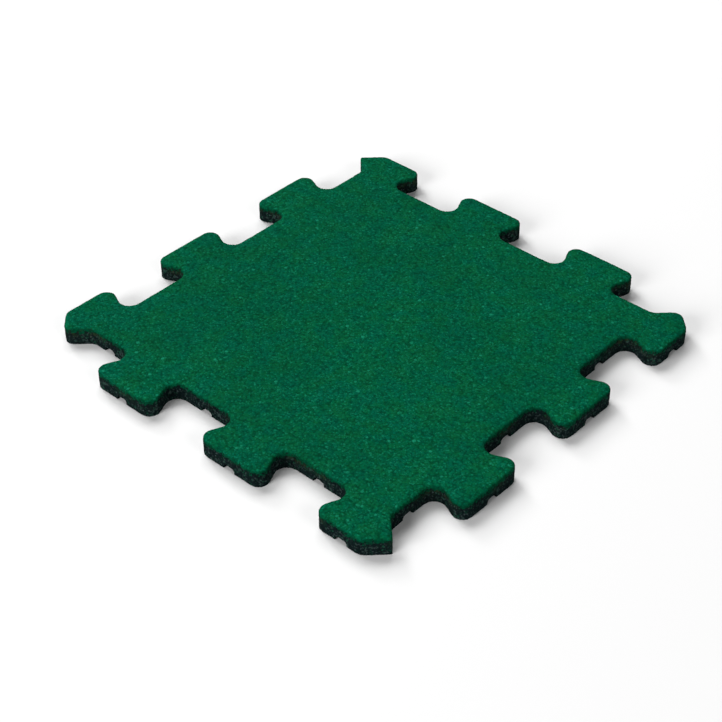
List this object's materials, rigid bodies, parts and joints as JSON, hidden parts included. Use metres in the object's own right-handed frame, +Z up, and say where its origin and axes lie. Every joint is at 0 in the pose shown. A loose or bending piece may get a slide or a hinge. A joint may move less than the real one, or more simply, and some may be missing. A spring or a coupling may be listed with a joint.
{
  "type": "interlocking rubber tile",
  "caption": "Square rubber granulate floor tile with a green wear layer on a black base, dovetail tabs and sockets on all sides and drainage channels underneath",
  "frame": {"origin": "centre of the tile at the bottom of its bounding box, on the floor it lies on", "axes": "+Z up through the walking face; +X and +Y along the sides of the laid square"},
  "size_m": [0.547, 0.547, 0.023],
  "materials": {
    "base_granulate": "coarse black rubber granulate, dull",
    "wear_granulate": "fine green rubber granulate, dull, mottled"
  },
  "bodies": {
    "root": {"base_layer": "base_granulate", "wear_layer": "wear_granulate"}
  },
  "joints": []
}
